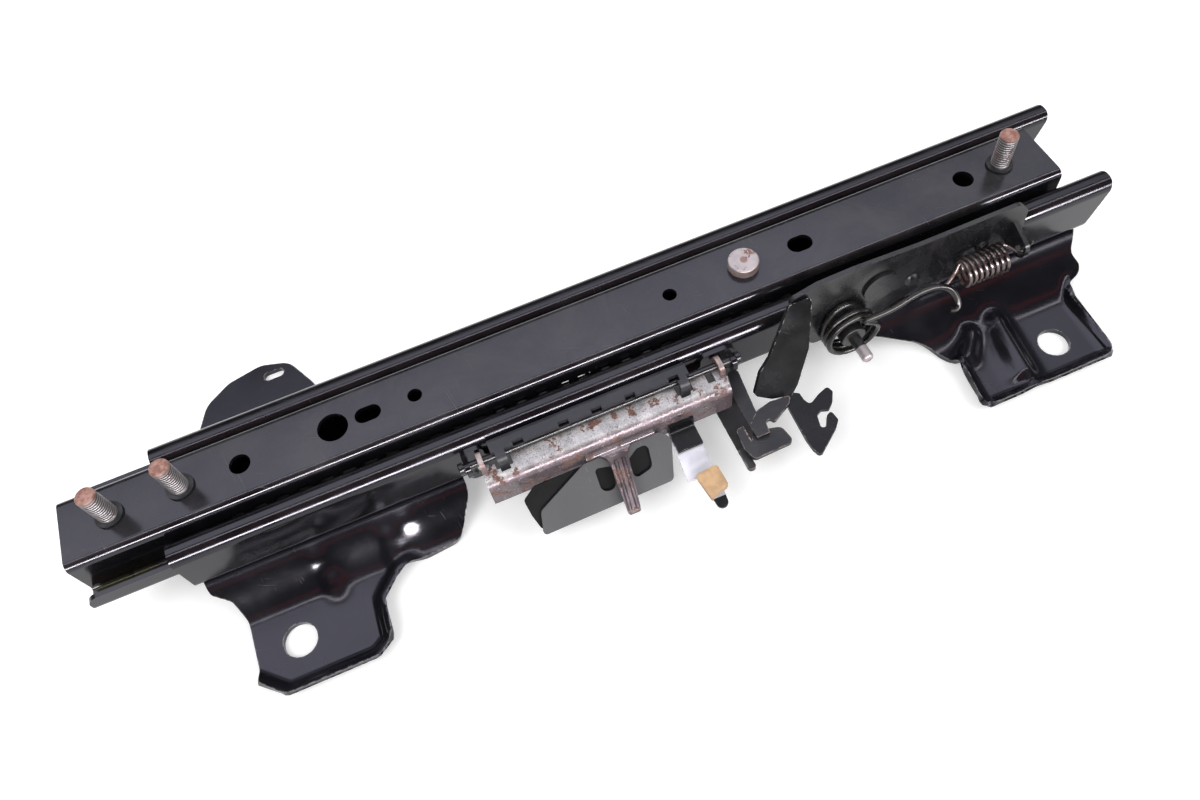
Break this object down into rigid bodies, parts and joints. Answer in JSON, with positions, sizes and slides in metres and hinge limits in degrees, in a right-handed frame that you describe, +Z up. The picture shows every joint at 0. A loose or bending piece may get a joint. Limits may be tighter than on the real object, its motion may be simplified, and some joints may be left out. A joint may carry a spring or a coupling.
{
  "type": "seat slide rail",
  "caption": "Seat slide rail: a hat-section seat rail on ball cages inside a floor rail on two pressed feet, with a side lock lever and springs.",
  "frame": {"origin": "centre of the left foot's bolt hole at the floor", "axes": "+X along the rail to the right foot, +Y across the rail towards its back, +Z up"},
  "size_m": [0.4495, 0.1602, 0.0635],
  "materials": {
    "rail_black": "gloss black electrocoat",
    "top_grey": "worn satin black coat",
    "foot_black": "gloss black electrocoat",
    "bracket_dusty": "dusty black coat",
    "lock_grey": "matte dark grey coat",
    "guard_grey": "matte mid grey coat",
    "zinc": "zinc plate with rust spots",
    "finger_zinc": "rust-stained zinc plate",
    "stud_steel": "plated thread with rust on top",
    "pin_steel": "plain steel",
    "ball_steel": "polished bearing steel",
    "cage_grey": "greased spring-steel strip",
    "coil_dark": "dark coated spring wire",
    "coil_brown": "brown spring wire",
    "leaf_steel": "bright spring strip",
    "tape_tan": "tan tape",
    "rivet_black": "coated rivet"
  },
  "bodies": {
    "floor_rail": {"lower_rail": "rail_black", "left_foot": "foot_black", "right_foot": "foot_black", "left_foot_rivets": "rivet_black", "right_foot_rivets": "rivet_black", "lock_carrier": "rail_black", "pivot_rod": "rivet_black", "carrier_rivets": "rivet_black", "spring_bracket": "bracket_dusty", "bracket_rivets": "rivet_black", "spring_pin": "pin_steel", "torsion_spring": "coil_dark", "tension_spring": "coil_brown", "cable_bracket": "rail_black", "cable_hook": "rail_black"},
    "seat_rail": {"upper_rail": "top_grey", "front_stud": "stud_steel", "middle_stud": "stud_steel", "rear_stud": "stud_steel", "stop_pin": "pin_steel"},
    "front_cage": {"front_ball_cage": "cage_grey", "front_balls": "ball_steel"},
    "back_cage": {"back_ball_cage": "cage_grey", "back_balls": "ball_steel"},
    "lock": {"lock_plate": "lock_grey"},
    "lever": {"release_lever": "zinc", "release_arm": "lock_grey", "handle_strap": "rail_black", "handle_tab": "lock_grey", "guard_sheet": "guard_grey", "guard_back": "rail_black", "lever_finger": "finger_zinc", "spring_leaf": "leaf_steel", "leaf_clamp": "rail_black", "leaf_pad": "tape_tan"}
  },
  "joints": [
    {"name": "seat_slide", "type": "slide", "parent": "floor_rail", "child": "seat_rail", "axis": [1, 0, 0], "range_m": [-0.07, 0.11]},
    {"name": "front_cage_roll", "type": "slide", "parent": "floor_rail", "child": "front_cage", "axis": [1, 0, 0], "range_m": [-0.0351, 0.0551]},
    {"name": "back_cage_roll", "type": "slide", "parent": "floor_rail", "child": "back_cage", "axis": [1, 0, 0], "range_m": [-0.0351, 0.0551]},
    {"name": "lever_turn", "type": "hinge", "parent": "floor_rail", "child": "lever", "pos_m": [0.139, 0.0248, 0.0373], "axis": [-1, 0, 0], "range_deg": [0, 10], "stiffness_Nm_per_rad": 0.3},
    {"name": "lock_draw", "type": "slide", "parent": "floor_rail", "child": "lock", "axis": [0, -1, 0], "range_m": [0, 0.0015]}
  ],
  "couplings": [
    {"joint": "front_cage_roll", "follows": "seat_slide", "ratio": 0.5},
    {"joint": "back_cage_roll", "follows": "seat_slide", "ratio": 0.5},
    {"joint": "lock_draw", "follows": "lever_turn", "m_per_rad": 0.0085}
  ]
}
